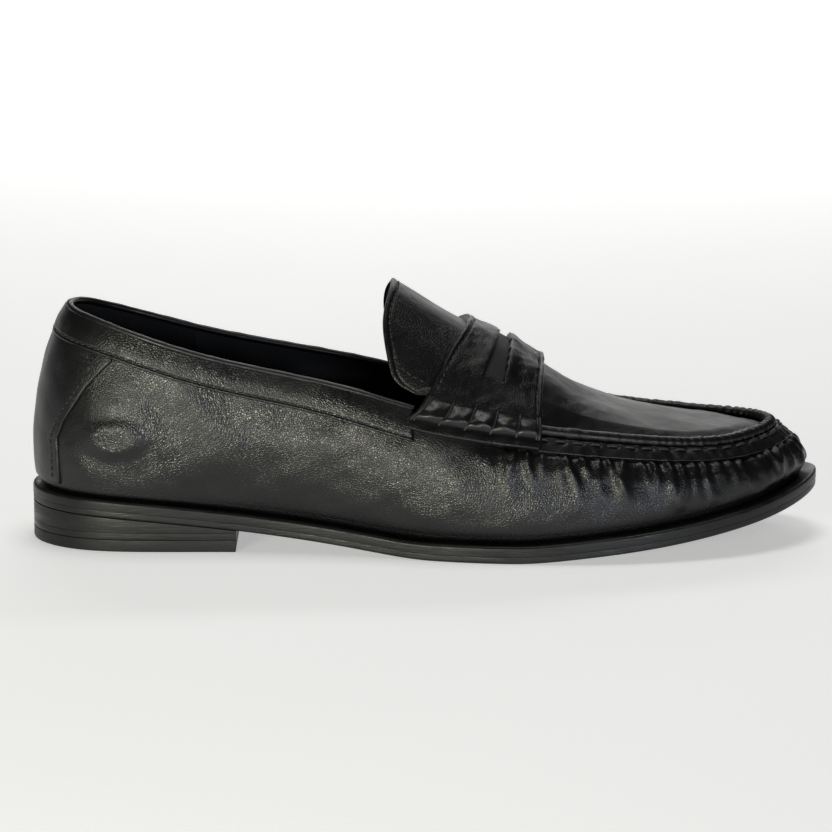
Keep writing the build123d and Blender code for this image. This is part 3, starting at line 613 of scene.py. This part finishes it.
trio = wall_curve(s[:, None], drop_to_t(s[:, None], (tall - 1.6)[:, None] + np.array([0.5, 0, -0.5])))
stitches("collar_stitch", [offset(trio, 1.1)[:, 1]], [normals(trio)[:, 1]], 2.0, 2.8, 0.38, THREAD,
         replaces=["collar_stitch"], slot="black_thread")
t = np.linspace(0.05, float(drop_to_t(0.0, BAND + 0.6)), 200)
paths, ups = [], []
for inner in (False, True):
    s = s_for_x(np.interp(t, *STAY) - 2.5, t, inner)
    nearby = s[:, None] + np.array([-0.001, 0, 0.001])
    trio = wall_curve(nearby, t[:, None])
    n = normals(trio)[:, 1]
    n = n * np.sign(np.sum(n * (trio[:, 1] - np.array([60, 0, 50])), -1, keepdims=True))
    paths.append(trio[:, 1] + n * 1.05)
    ups.append(n)
stitches("backstay_stitch", paths, ups, 1.8, 2.5, 0.34, THREAD,
         replaces=["backstay_stitch"], slot="black_thread")

# ---- Apron, raised seam, strip ---------------------------------------------------------------------------

s = np.linspace(STRAP_OUT - 0.012, STRAP_IN + 0.012, int(760 * FINE))
rail = top_at(s)
run = runs(rail[:, None], 0)[:, 0]
toe_near = np.exp(-(((run - run[-1] * 0.5) / 38) ** 2))
PITCH = 6.4
wrinkle = 0.16 * np.sin(run * 2 * np.pi / 3.1 + 2 * np.sin(run / 9)) * (0.25 + toe_near)
wrinkle += 0.12 * wave_noise(rail, 5, 51)
pinch = 0.2 * np.exp(-(((run % PITCH) / PITCH - 0.5) / 0.12) ** 2)
radius = ROLL * (1 + 0.06 * toe_near) + wrinkle - pinch * (0.4 + 0.8 * toe_near)
tube("seam_roll", rail + np.array([0, 0, 0.3]), radius[:, None], EDGE_LEATHER, 26, replaces=["seam_roll"])
share = 1 - edged(int(34 * FINE), 0.5)[None, :]
p = wall_at_drop(s[:, None], ROLL + 0.35 + (STRIP + 0.6) * share)
scallop = 0.22 * np.sin(run * 2 * np.pi / PITCH)[:, None] * ease(share, 0.4, 1.0)
dips = 0.35 * np.exp(-((((run % PITCH) / PITCH - 0.5) / 0.16) ** 2))[:, None]
dips = dips * np.exp(-(((share - 0.2) / 0.16) ** 2))
ripple = 0.12 * np.sin(run * 1.9)[:, None] * toe_near[:, None]
high = 0.95 + 0.12 * wave_noise(p, 6, 52) + ripple + scallop * 0.5 - dips
skin("seam_band", p, high, -0.6, EDGE_LEATHER, 0.6, replaces=["seam_band"])
trio = wall_at_drop(s[:, None], ROLL + 0.95 + 0.75 + np.array([0.5, 0, -0.5])[None, :])
stitches("running_stitch", [offset(trio, 1.05)[:, 1]], [normals(trio)[:, 1]], 4.4, PITCH, 0.52, THREAD, 0.05,
         replaces=["running_stitch"], slot="black_thread")


def apron_surface():
    """Fan of lines from a spine along the middle of the apron to its rail, all the way round."""
    count = int(560 * FINE)
    s = np.linspace(STRAP_OUT - 0.05, STRAP_IN + 0.05, count)
    d = top_at(s + 1e-4) - top_at(s - 1e-4)
    n = np.stack([d[:, 1], -d[:, 0]], -1)
    n /= np.linalg.norm(n, axis=-1, keepdims=True)
    side = top_at(s)[:, :2] - n * 1.5
    spine_x = np.clip(side[:, 0], 150, 250)
    blend_x = 250 - 8 * np.log1p(np.exp(-(side[:, 0] - 250) / 8))
    spine_x = np.where(side[:, 0] > 200, np.minimum(blend_x, side[:, 0]), side[:, 0])
    spine = np.stack([spine_x, (outer_y(spine_x) + inner_y(spine_x)) / 2], -1)
    k = np.linspace(0, 1, int(150 * FINE))[None, :, None]
    xy = spine[:, None] * (1 - k) + side[:, None] * k
    z = crown(xy[..., 0], xy[..., 1])
    p = np.concatenate([xy, z[..., None]], -1)
    e = np.linalg.norm(side[:, None] - xy, axis=-1)
    z_rail = top_at(s)[:, 2][:, None]
    weight = 1 - ease(e, 0.5, 9.0)
    front = ease(xy[..., 0], 186, 200)
    p[..., 2] = p[..., 2] * (1 - weight * front * 0.7) + (z_rail - 0.9) * weight * front * 0.7
    p[..., 2] += 0.22 * wave_noise(p, 26, 61) + 0.05 * wave_noise(p, 7, 62) - 0.5 * np.exp(-((e / 1.6) ** 2))
    return p


p = apron_surface()
mesh("apron", p, quads(p.shape[0], p.shape[1]), APRON_LEATHER, replaces=["apron", "apron_lining"],
     slot="apron_leather")

# ---- Strap -----------------------------------------------------------------------------------------------

GAP = 1.1
u = edged(int(300 * FINE), 0.3) * 2 - 1
v = edged(int(110 * FINE), 0.5)
low_strap = strap_grid(u, v, 0.0)
fullness = 0.25 * wave_noise(low_strap, 16, 71) + 0.08 * wave_noise(low_strap, 6, 72)
ru, rv = runs(low_strap, 0), runs(low_strap, 1)
width = rv[:, -1:]
edge_fold = 0.35 * np.exp(-(((rv - 0.9) / 0.9) ** 2)) + 0.35 * np.exp(-(((width - rv - 0.9) / 0.9) ** 2))
seam_dip = 0.3 * np.exp(-(((rv - 2.2) / 0.45) ** 2)) + 0.3 * np.exp(-(((width - rv - 2.0) / 0.45) ** 2))
uu = np.abs(u)[:, None] + 0 * v[None, :]
top_part = 1 - ease(uu, 0.66, 0.74)
x, y = low_strap[..., 0], low_strap[..., 1] + 1.5
SLOT = 28.5
slot_rear = 171.3 - 5.6 * (np.abs(y) / SLOT) ** 1.9
slot_front = 175.0 - 2.4 * (np.abs(y) / SLOT) ** 2.2
in_slot = (x > slot_rear) & (x < slot_front) & (np.abs(y) < SLOT)
lip = 0.9 * np.exp(-(((x - slot_front - 1.2) / 2.2) ** 2)) * (np.abs(y) < SLOT + 3) * (x > slot_front)
lip += 0.35 * np.exp(-(((x - slot_rear + 1.2) / 2.0) ** 2)) * (np.abs(y) < SLOT + 2) * (x < slot_rear)
lip *= 1 - ease(np.abs(y), SLOT - 6, SLOT + 3)
high = GAP + 1.55 + fullness + (edge_fold - seam_dip) * top_part + lip
grid = skirted(low_strap, high, 0.2, 0.75, -1)
keep = np.zeros(grid.shape[:2], bool)
keep[1:-1, 1:-1] = in_slot
faces = quads(grid.shape[0], grid.shape[1])
n = -normals(low_strap)
floor = low_strap + n * (GAP + 0.35)
flat_keep = keep.reshape(-1)
points = grid.reshape(-1, 3).copy()
hole = flat_keep[faces].any(axis=1)
solid_faces = faces[~hole]
strap_points = points.copy()
slot_edge = np.zeros(len(points), bool)
slot_edge[faces[hole].ravel()] = True
slot_edge &= ~flat_keep
extra_index = np.full(len(points), -1)
rim = np.where(slot_edge)[0]
inner_grid = np.zeros_like(grid)
inner_grid[1:-1, 1:-1] = floor
extra = inner_grid.reshape(-1, 3)[rim]
extra_index[rim] = len(points) + np.arange(len(rim))
sides = []
count = {}
for face in solid_faces[slot_edge[solid_faces].sum(1) >= 2]:
    for a, b in zip(face, np.roll(face, -1)):
        if slot_edge[a] and slot_edge[b]:
            count[(a, b)] = 1
for a, b in list(count):
    if (b, a) not in count:
        sides.append([b, a, extra_index[a], extra_index[b]])
strap_points = np.concatenate([strap_points, extra])
mesh("saddle_strap", strap_points, np.concatenate([solid_faces, np.array(sides)]), STRAP_LEATHER,
     replaces=["saddle_strap"], slot="apron_leather")
p = strap_grid(np.linspace(-0.7, 0.7, int(120 * FINE)), np.linspace(0.06, 0.94, int(40 * FINE)), 0.0)
skin("strap_backing", p, GAP + 0.35, 0.3, LINING, 0.3, -1, replaces=["strap_backing"], slot="lining_leather")
paths, ups = [], []
for side in (0, 1):
    uu = np.linspace(-0.735, 0.735, 500)
    near = strap_grid(uu, np.linspace(0, 1, 41), 0.0)
    r = runs(near, 1)
    r = r if side == 0 else r[:, -1:] - r
    order = 1 if side == 0 else -1
    want = 2.2 if side == 0 else 2.0
    line = np.stack([[np.interp(want, row[::order], column[::order]) for column in points.T]
                     for row, points in zip(r, near)])
    n = -normals(near)
    up = n[:, 4] if side == 0 else n[:, -5]
    paths.append(line + up * (GAP + 1.32))
    ups.append(up)
stitches("strap_stitch", paths, ups, 1.9, 2.7, 0.37, THREAD, replaces=["strap_stitch"], slot="black_thread")
SEGMENTS = (0.045, 0.24, 0.43, 0.62, 0.81, 0.965)
for name, side in (("outer", -1), ("inner", 1)):
    v = np.linspace(0.03, 0.985, int(260 * FINE))
    across = np.linspace(-1, 1, int(60 * FINE))
    lump = np.zeros_like(v)
    for a, b in zip(SEGMENTS, SEGMENTS[1:]):
        k = (v - a) / (b - a)
        inside = (k > 0) & (k < 1)
        lump = np.where(inside, np.abs(np.sin(np.pi * np.clip(k, 0, 1))) ** 0.38, lump)
    u = side * (0.83 + 0.085 * across[::side])
    base = strap_grid(u, v, 0.0)
    shape = np.sqrt(np.clip(1 - across[::side] ** 2, 0, 1))
    lean = 1 + 0.25 * across[::side]
    high = GAP + 1.1 + (0.25 + shape[:, None] * lean[:, None] * (1.9 + 1.35 * lump[None, :]))
    high = high + 0.12 * wave_noise(base, 4, 81) * shape[:, None]
    skin(f"strap_roll_{name}", base, high, 0.6, EDGE_LEATHER, 0.3, -1, replaces=[f"strap_roll_{name}"])
    points, faces, start = [], [], 0
    for k, at in enumerate(SEGMENTS):
        for shift in ((0,) if 0 < k < 5 else (-0.008, 0.012)):
            c = np.linspace(-1, 1, 17)
            u = side * (0.83 + 0.088 * c[::side])
            line = strap_grid(u, np.array([-0.01, 0, 0.01]) + at + shift, 0.0)
            n = -normals(line)[:, 1]
            h = GAP + 1.15 + 2.2 * np.sqrt(1 - (0.93 * c[::side]) ** 2)
            path = line[:, 1] + n * h[:, None]
            g = tube_points(path, np.full(17, 0.5)[:, None] * np.ones((1, 8)), 8, n)
            faces.append(quads(17, 8, wrap_v=True, base=start))
            points.append(g.reshape(-1, 3))
            start += 17 * 8
    mesh(f"roll_ties_{name}", np.concatenate(points), np.concatenate(faces), THREAD,
         replaces=[f"roll_ties_{name}"], slot="black_thread")

# ---- Tongue ----------------------------------------------------------------------------------------------

REAR_HALF = (14, 131.6), (24.5, 129.8), (30, 131.8), (33, 136.5), (34.5, 143.5)
REAR_EDGE = cubic([(-y, x) for y, x in REAR_HALF[::-1]] + [(0, 132.9)] + list(REAR_HALF))


def tongue_surface(inset, count_y, count_x):
    y = (edged(count_y, 0.5) * 2 - 1) * (34.3 - inset)
    rear = np.maximum(REAR_EDGE(y), 129.6) + inset
    reach = strap_grid(np.linspace(-0.9, 0.9, 200), np.array([0.0, 0.01]), 0)[:, 0]
    front = np.interp(y - 1.5, reach[:, 1], reach[:, 0]) + 2.0
    k = edged(count_x, 0.5)
    x = rear[:, None] + (front - rear)[:, None] * k[None, :]
    yy = np.broadcast_to(y[:, None] - 1.5, x.shape)
    p = np.stack([x, yy, crown(x, yy)], -1)
    p[..., 2] += 0.15 * wave_noise(p, 20, 91)
    return p


p = tongue_surface(0, int(240 * FINE), int(90 * FINE))
ru, rv = runs(p, 0), runs(p, 1)
near = np.minimum(np.minimum(ru, ru[-1:] - ru), rv)
high = 0.55 - 0.28 * np.exp(-(((near - 2.3) / 0.45) ** 2)) + 0.18 * np.exp(-(((near - 0.9) / 0.8) ** 2))
tongue = skin("tongue", p, -high + 0.2, 1.2, STRAP_LEATHER, 0.1,
              replaces=["tongue"], slot="apron_leather", body=None)
under = tongue_surface(0.8, int(120 * FINE), int(50 * FINE))
under_grid = offset(under, 1.3)
tongue_lining = mesh("tongue_lining", under_grid, quads(*under_grid.shape[:2]), LINING, body=None,
                     replaces=["tongue_lining"], slot="lining_leather")
c = np.linspace(-1, 1, 900)
y = c * 32.2
x = np.maximum(REAR_EDGE(np.clip(y * 34.3 / 32.2, -34.3, 34.3)), 129.6) + 2.3
line = np.stack([x, y - 1.5, crown(x, y - 1.5)], -1)
side = np.stack([x + 0.5, y - 1.5, crown(x + 0.5, y - 1.5)], -1)
n = normals(np.stack([line, side], 1))[:, 0]
n *= np.sign(n[:, 2:3])
tongue_stitch = stitches("tongue_stitch", [line + n * 0.2], [n], 1.9, 2.7, 0.34, THREAD,
                         replaces=["tongue_stitch"], slot="black_thread", body=None)
for obj in (tongue, tongue_lining, tongue_stitch):
    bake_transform(obj)

# ---- Linings and sock ------------------------------------------------------------------------------------


def lining(name, ends, count, material, slot):
    s = np.linspace(*ends, int(count * FINE))
    low, high = 0.03, drop_to_t(s[:, None], 0.9 + 1.9 * ease(top_at(s)[..., 0], 176, 187)[:, None])
    t = low + (high - low) * np.linspace(0, 1, int(60 * FINE))
    p = wall_curve(s[:, None], t)
    depth = -1.5 - 1.4 * (1 - ease(t, 0.62, 0.9)) + 0.15 * wave_noise(p, 22, 95)
    grid = offset(p, depth)
    mesh(name, grid[::-1], quads(*grid.shape[:2]), material, replaces=[name], slot=slot)


grip = float(s_for_x(60, 0.7)), float(s_for_x(60, 0.7, True))
join = float(s_for_x(146, 0.9)), float(s_for_x(146, 0.9, True))
lining("heel_grip", (grip[1] - 1, grip[0]), 200, SUEDE, "grip_suede")
lining("quarter_lining_outer", (grip[0], join[0]), 120, LINING, "lining_leather")
lining("quarter_lining_inner", (join[1], grip[1]), 120, LINING, "lining_leather")
lining("vamp_lining", join, 300, LINING, "lining_leather")


def ring(profile, count, spine=(26, 262)):
    """Closed form round the outsole's outline, from rows of (inset, z over the underside, share drawn in)."""
    s = np.linspace(0, 1, count, endpoint=False)
    plan, out = outline_at(s), outward(s)
    x = np.clip(plan[:, 0], *spine)
    middle = np.stack([x, np.interp(x, (26, 100, 150, 200, 262), (0, -3, -4.5, -2, 2))], -1)
    lines = []
    for inset, z, drawn in profile:
        p = plan - out * inset
        p = p * (1 - drawn) + middle * drawn
        height = sole_bottom(p[:, 0]) + z if not callable(z) else z(p[:, 0])
        lines.append(np.concatenate([p, np.broadcast_to(height, (count,))[:, None]], -1))
    return np.stack(lines, 1)


def rounded(inset, low, high, under, over, steps=7):
    """Side profile of a layer from its underside to its top, with rounded edges of those two radii."""
    a = np.linspace(0, np.pi / 2, steps)
    rows = [(inset + under * (1 - math.sin(k)), low + under * (1 - math.cos(k)), 0) for k in a]
    rows += [(inset, low + (high - low) * k, 0) for k in (0.4, 0.5, 0.6)]
    rows += [(inset + over * (1 - math.cos(k)), high - over * (1 - math.sin(k)), 0) for k in a]
    caps = [0.04, 0.15, 0.4, 0.7, 0.97]
    return [(inset + under, low, k) for k in reversed(caps)] + rows + [(inset + over, high, k) for k in caps]


def sole_piece(name, profile, count, material, slot):
    grid = ring(profile, count)
    faces = quads(grid.shape[0], grid.shape[1], wrap_u=True)
    return mesh(name, grid, faces, material, replaces=[name], slot=slot)


COUNT = int(900 * FINE)
sole_piece("outsole", rounded(0.08, 0.0, 2.58, 0.85, 0.12), COUNT, SOLE_EDGE, "black_sole")
sole_piece("midsole", rounded(0.0, 2.6, 6.4, 0.12, 1.15), COUNT, SOLE_EDGE, "black_sole")


def sock_height(x):
    return sole_bottom(x) + BASE + 1.2 + 1.8 + 0.3 + 3.15 * (1 - ease(x, 69, 83)) + 0.8


rows = [(9.5 + a, lambda x, b=b: sock_height(x) - b, d) for a, b, d in
        ((0, 0.8, 0), (0, 0.3, 0), (0.4, 0, 0), (0.4, 0, 0.1), (0.4, 0, 0.3), (0.4, 0, 0.6), (0.4, 0, 0.97))]
sole_piece("sock_lining", rows, COUNT // 2, LINING, "lining_leather")

# ---- Heel ------------------------------------------------------------------------------------------------

BREAST = 76.0


def over_sole(rise):
    return lambda x: sole_bottom(x) + rise


def heel_piece(name, low, high, inset, radius, material, slot, breast_x=BREAST):
    """Heel layer: the outsole's rear outline, closed by the straight breast."""
    s = np.concatenate([np.linspace(0.72, 1, 160, endpoint=False), np.linspace(0, 0.28, 160)])
    plan = outline_at(s) - outward(s) * inset
    inside = plan[:, 0] < breast_x
    plan = plan[inside]
    a, b = plan[-1], plan[0]
    breast = np.stack([np.full(24, breast_x), np.linspace(a[1], b[1], 26)[1:-1]], -1)
    plan = np.concatenate([plan, np.array([[breast_x, a[1]]]), breast, np.array([[breast_x, b[1]]])])
    middle = np.array([breast_x / 2, 0.0])
    direction = plan - middle
    size = np.linalg.norm(direction, axis=-1, keepdims=True)
    rows = []
    steps = np.linspace(0, np.pi / 2, 6)
    profile = [(0.97, "low", 0), (0.5, "low", 0), (0.1, "low", 0)]
    for k in steps:
        profile.append((0, "low", (radius * (1 - math.sin(k)), radius * (1 - math.cos(k)))))
    profile.append((0, "mid", (0, 0)))
    for k in steps:
        profile.append((0, "high", (radius * (1 - math.cos(k)), -radius * (1 - math.sin(k)))))
    profile += [(0.1, "high", 0), (0.5, "high", 0), (0.97, "high", 0)]
    for drawn, level, shape in profile:
        if shape == 0:
            p = plan - direction / size * radius
            p = p * (1 - drawn) + middle * drawn
            dz = 0
        else:
            p = plan - direction / size * shape[0]
            dz = shape[1]
        x = p[:, 0]
        lo = low(x) if callable(low) else np.full(len(x), low)
        hi = high(x) if callable(high) else np.full(len(x), high)
        z = {"low": lo, "high": hi, "mid": (lo + hi) / 2}[level] + dz
        rows.append(np.concatenate([p, z[:, None]], -1))
    grid = np.stack(rows, 1)
    faces = quads(grid.shape[0], grid.shape[1], wrap_u=True)
    return mesh(name, grid, faces, material, replaces=[name], slot=slot)


heel_piece("heel_top_lift", 0.0, 4.6, 0.12, 0.5, HEEL_RUBBER, "heel_rubber")
heel_piece("heel_lift", 4.63, 7.0, 0.14, 0.1, HEEL_STACK, "heel_stack")
heel_piece("heel_wedge", 7.03, over_sole(-0.02), 0.12, 0.1, HEEL_STACK, "heel_stack")
FOAM = plain("pad_foam", (0.5, 0.48, 0.4), 0.9, 1400.0, 0.0002)
pad = heel_piece("heel_pad", over_sole(BASE + 3.4), over_sole(BASE + 6.2), 11, 1.3, FOAM, "foam", 67.0)

# ---- Stage -----------------------------------------------------------------------------------------------


def stage():
    """Pale floor that curves up a little far behind the shoe."""
    bend = np.linspace(0, 0.9, 10)
    y = np.concatenate([[-2.6, -1.0, 0.0, 1.0], 1.9 + 0.6 * np.sin(bend)])
    z = np.concatenate([[0, 0, 0, 0], 0.6 * (1 - np.cos(bend))])
    x = np.array([-3.0, 0.0, 3.0])
    grid = np.zeros((3, len(y), 3))
    grid[..., 0], grid[..., 1], grid[..., 2] = x[:, None], y, z
    data = bpy.data.meshes.new("floor")
    faces = [tuple(int(k) for k in face) for face in quads(3, len(y))]
    data.from_pydata([tuple(p) for p in grid.reshape(-1, 3)], [], faces)
    data.polygons.foreach_set("use_smooth", [True] * len(data.polygons))
    obj = bpy.data.objects.new("floor", data)
    bpy.context.collection.objects.link(obj)
    m, nodes, links, b, place = shader("floor_paper", (0.88, 0.88, 0.88), 0.9)
    b.inputs["Emission Color"].default_value = (1, 1, 1, 1)
    b.inputs["Emission Strength"].default_value = 0.4
    bump(nodes, links, b, ((noise(nodes, links, place.outputs["Object"], 300.0), 0.0002, 0.3),))
    data.materials.append(m)


def area(name, at, target, size, power, color):
    light = bpy.data.lights.new(name, "AREA")
    light.shape = "RECTANGLE"
    light.size, light.size_y = size
    light.energy = power
    light.color = color
    obj = bpy.data.objects.new(name, light)
    bpy.context.collection.objects.link(obj)
    obj.location = at
    obj.rotation_euler = (Vector(target) - Vector(at)).to_track_quat("-Z", "Y").to_euler()
    return obj


stage()
area("key_rear", (-0.5, -1.1, 0.14), (-0.05, 0, 0.04), (0.34, 0.13), 8.5, (1.0, 1.0, 0.84))
area("fill_front", (0.45, -1.15, 0.1), (0.08, 0, 0.03), (0.36, 0.13), 3.6, (0.8, 0.86, 1.0))
area("over", (0.0, 0.1, 1.25), (0.0, 0.1, 0.0), (0.5, 0.5), 4.0, (1.0, 0.99, 0.96))
area("behind", (0.1, 1.35, 0.42), (0.05, 0.0, 0.05), (0.8, 0.16), 1.2, (1.0, 0.99, 0.97))
area("far_floor", (0.0, 1.7, 1.3), (0.0, 1.9, 0.0), (1.6, 0.5), 16.0, (1, 1, 1))
world = bpy.data.worlds.new("world")
bpy.context.scene.world = world
world.use_nodes = True
world.node_tree.nodes["Background"].inputs["Color"].default_value = (1, 1, 1, 1)
world.node_tree.nodes["Background"].inputs["Strength"].default_value = 0.05

camera = bpy.data.cameras.new("camera")
camera.lens = 200
camera.sensor_width = 36
obj = bpy.data.objects.new("camera", camera)
bpy.context.collection.objects.link(obj)
ELEVATION, DISTANCE = math.radians(11.5), 0.3069 * 200 / 36
obj.location = (-0.0034, -DISTANCE * math.cos(ELEVATION), 0.0442 + DISTANCE * math.sin(ELEVATION))
obj.rotation_euler = (math.pi / 2 - ELEVATION, 0, 0)
bpy.context.scene.camera = obj
bpy.context.scene.view_settings.view_transform = "Standard"
